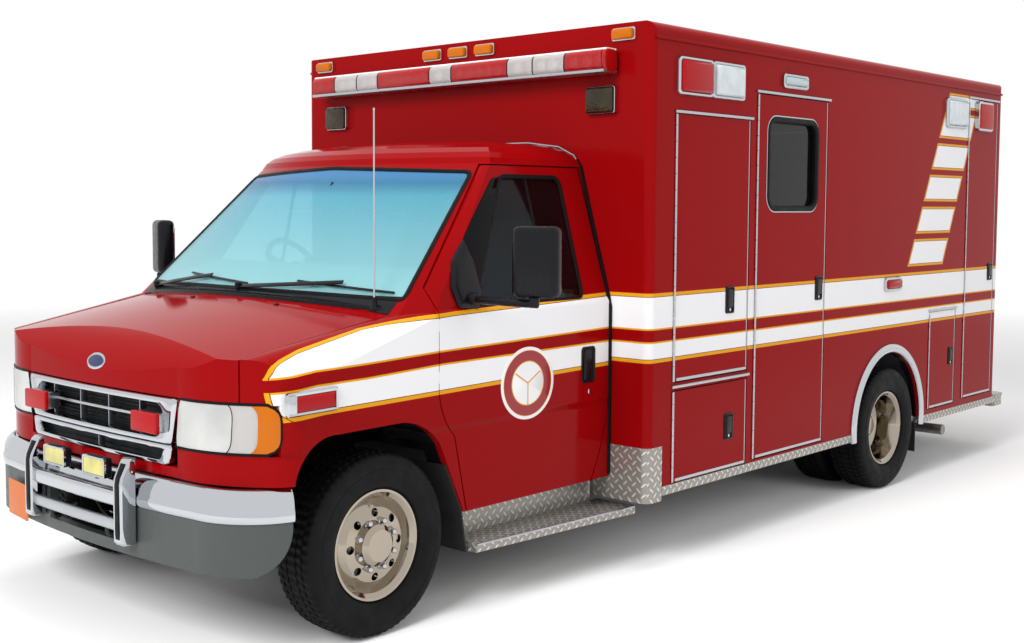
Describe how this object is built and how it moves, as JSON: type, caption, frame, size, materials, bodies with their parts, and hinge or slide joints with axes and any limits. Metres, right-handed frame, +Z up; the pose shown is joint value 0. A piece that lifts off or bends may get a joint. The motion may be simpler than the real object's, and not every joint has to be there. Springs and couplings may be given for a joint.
{
  "type": "modular ambulance",
  "caption": "Modular ambulance: van cab and chassis, rounded box body with lockers, hinged doors, lifting hood, steered front wheels and twin rear wheels.",
  "frame": {"origin": "centre of the bounding box, at the ground under the tyres", "axes": "+Z up, +Y towards the rear, so the hood faces -Y; +X towards the side with the entry door"},
  "size_m": [2.8538, 6.66, 2.565],
  "materials": {
    "tyre": "matt",
    "polished_wheel": "polished",
    "chassis_black": "satin",
    "cast_iron": "matt",
    "exhaust_steel": "matt",
    "tank_plastic": "matt",
    "red_paint": "gloss",
    "chrome": "polished",
    "valance_grey": "satin",
    "push_guard_black": "matt",
    "black_plastic": "matt",
    "dash_plastic": "matt",
    "seat_vinyl": "matt",
    "glass": "clear",
    "headlamp_lens": "clear",
    "red_lens": "gloss",
    "lining_aluminium": "satin",
    "floor_vinyl": "satin",
    "tread_plate": "satin",
    "flap_rubber": "matt"
  },
  "bodies": {
    "chassis": {"bumper_valance": "valance_grey", "cab_body": "red_paint", "cab_seats": "seat_vinyl", "chassis_frame": "chassis_black", "cowl": "black_plastic", "dashboard": "dash_plastic", "drivetrain": "cast_iron", "exhaust": "exhaust_steel", "front_axle": "chassis_black", "front_bumper": "chrome", "front_lamps": "headlamp_lens", "fuel_tank": "tank_plastic", "grille": "chrome", "light_bar": "red_lens", "module_floor": "floor_vinyl", "module_front_wall": "red_paint", "module_lamps": "red_lens", "module_left_wall": "red_paint", "module_linings": "lining_aluminium", "module_rear_frame": "red_paint", "module_right_wall": "red_paint", "module_roof": "red_paint", "mud_flaps": "flap_rubber", "push_guards": "push_guard_black", "rear_axle": "chassis_black", "rear_step": "tread_plate", "running_boards": "tread_plate", "skirt_trim": "tread_plate", "springs": "chassis_black", "windscreen": "glass"},
    "knuckle_left": {"steering_knuckle_left": "chassis_black"},
    "knuckle_right": {"steering_knuckle_right": "chassis_black"},
    "wheel_front_left": {"front_wheel_left": "polished_wheel", "front_tyre_left": "tyre"},
    "wheel_front_right": {"front_wheel_right": "polished_wheel", "front_tyre_right": "tyre"},
    "wheels_rear_left": {"rear_wheels_left": "polished_wheel", "rear_tyres_left": "tyre"},
    "wheels_rear_right": {"rear_wheels_right": "polished_wheel", "rear_tyres_right": "tyre"},
    "steering_wheel": {"steering_wheel": "black_plastic"},
    "hood": {"hood": "red_paint"},
    "cab_door_left": {"cab_door_left": "red_paint", "cab_window_left": "glass", "mirror_left": "black_plastic"},
    "cab_door_right": {"cab_door_right": "red_paint", "cab_window_right": "glass", "mirror_right": "black_plastic"},
    "lower_locker_door": {"lower_locker_door": "red_paint"},
    "upper_locker_door": {"upper_locker_door": "red_paint"},
    "side_entry_door": {"side_entry_door": "red_paint", "side_entry_window": "glass"},
    "rear_low_locker_door": {"rear_low_locker_door": "red_paint"},
    "rear_tall_locker_door": {"rear_tall_locker_door": "red_paint"},
    "right_front_locker_door": {"right_front_locker_door": "red_paint"},
    "right_rear_locker_door": {"right_rear_locker_door": "red_paint"},
    "rear_door_left": {"rear_door_left": "red_paint", "rear_window_left": "glass"},
    "rear_door_right": {"rear_door_right": "red_paint", "rear_window_right": "glass"}
  },
  "joints": [
    {"name": "steer_left", "type": "hinge", "parent": "chassis", "child": "knuckle_left", "pos_m": [0.79, -2.54, 0.37], "axis": [0, 0, 1], "range_deg": [-32, 32]},
    {"name": "steer_right", "type": "hinge", "parent": "chassis", "child": "knuckle_right", "pos_m": [-0.79, -2.54, 0.37], "axis": [0, 0, 1], "range_deg": [-32, 32]},
    {"name": "wheel_front_left_turn", "type": "hinge", "parent": "knuckle_left", "child": "wheel_front_left", "pos_m": [0.8815, -2.54, 0.37], "axis": [1, 0, 0], "continuous": true},
    {"name": "wheel_front_right_turn", "type": "hinge", "parent": "knuckle_right", "child": "wheel_front_right", "pos_m": [-0.8815, -2.54, 0.37], "axis": [1, 0, 0], "continuous": true},
    {"name": "wheels_rear_left_turn", "type": "hinge", "parent": "chassis", "child": "wheels_rear_left", "pos_m": [0.978, 1.473, 0.37], "axis": [1, 0, 0], "continuous": true},
    {"name": "wheels_rear_right_turn", "type": "hinge", "parent": "chassis", "child": "wheels_rear_right", "pos_m": [-0.978, 1.473, 0.37], "axis": [1, 0, 0], "continuous": true},
    {"name": "steering_wheel_turn", "type": "hinge", "parent": "chassis", "child": "steering_wheel", "pos_m": [-0.4, -1.82, 1.371], "axis": [0, 0.866, 0.5], "range_deg": [-544, 544]},
    {"name": "hood_lift", "type": "hinge", "parent": "chassis", "child": "hood", "pos_m": [0, -2.37, 1.345], "axis": [-1, 0, 0], "range_deg": [0, 50]},
    {"name": "cab_door_left_swing", "type": "hinge", "parent": "chassis", "child": "cab_door_left", "pos_m": [0.997, -2.219, 1.1], "axis": [0, 0, -1], "range_deg": [0, 65]},
    {"name": "cab_door_right_swing", "type": "hinge", "parent": "chassis", "child": "cab_door_right", "pos_m": [-0.997, -2.219, 1.1], "axis": [0, 0, 1], "range_deg": [0, 65]},
    {"name": "lower_locker_door_swing", "type": "hinge", "parent": "chassis", "child": "lower_locker_door", "pos_m": [1.2233, -0.856, 0.61], "axis": [0, 0, -1], "range_deg": [0, 110]},
    {"name": "upper_locker_door_swing", "type": "hinge", "parent": "chassis", "child": "upper_locker_door", "pos_m": [1.2233, -0.856, 1.515], "axis": [0, 0, -1], "range_deg": [0, 110]},
    {"name": "side_entry_door_swing", "type": "hinge", "parent": "chassis", "child": "side_entry_door", "pos_m": [1.2233, -0.118, 1.35], "axis": [0, 0, -1], "range_deg": [0, 110]},
    {"name": "rear_low_locker_door_swing", "type": "hinge", "parent": "chassis", "child": "rear_low_locker_door", "pos_m": [1.2233, 2.034, 0.733], "axis": [0, 0, -1], "range_deg": [0, 110]},
    {"name": "rear_tall_locker_door_swing", "type": "hinge", "parent": "chassis", "child": "rear_tall_locker_door", "pos_m": [1.2233, 2.574, 1.433], "axis": [0, 0, -1], "range_deg": [0, 110]},
    {"name": "right_front_locker_door_swing", "type": "hinge", "parent": "chassis", "child": "right_front_locker_door", "pos_m": [-1.2233, -0.856, 1.27], "axis": [0, 0, 1], "range_deg": [0, 110]},
    {"name": "right_rear_locker_door_swing", "type": "hinge", "parent": "chassis", "child": "right_rear_locker_door", "pos_m": [-1.2233, 2.574, 1.29], "axis": [0, 0, 1], "range_deg": [0, 110]},
    {"name": "rear_door_left_swing", "type": "hinge", "parent": "chassis", "child": "rear_door_left", "pos_m": [0.606, 3.1583, 1.545], "axis": [0, 0, -1], "range_deg": [0, 105]},
    {"name": "rear_door_right_swing", "type": "hinge", "parent": "chassis", "child": "rear_door_right", "pos_m": [-0.606, 3.1583, 1.545], "axis": [0, 0, 1], "range_deg": [0, 105]}
  ],
  "couplings": [
    {"joint": "steer_right", "follows": "steer_left", "ratio": 1},
    {"joint": "steering_wheel_turn", "follows": "steer_left", "ratio": 17}
  ]
}
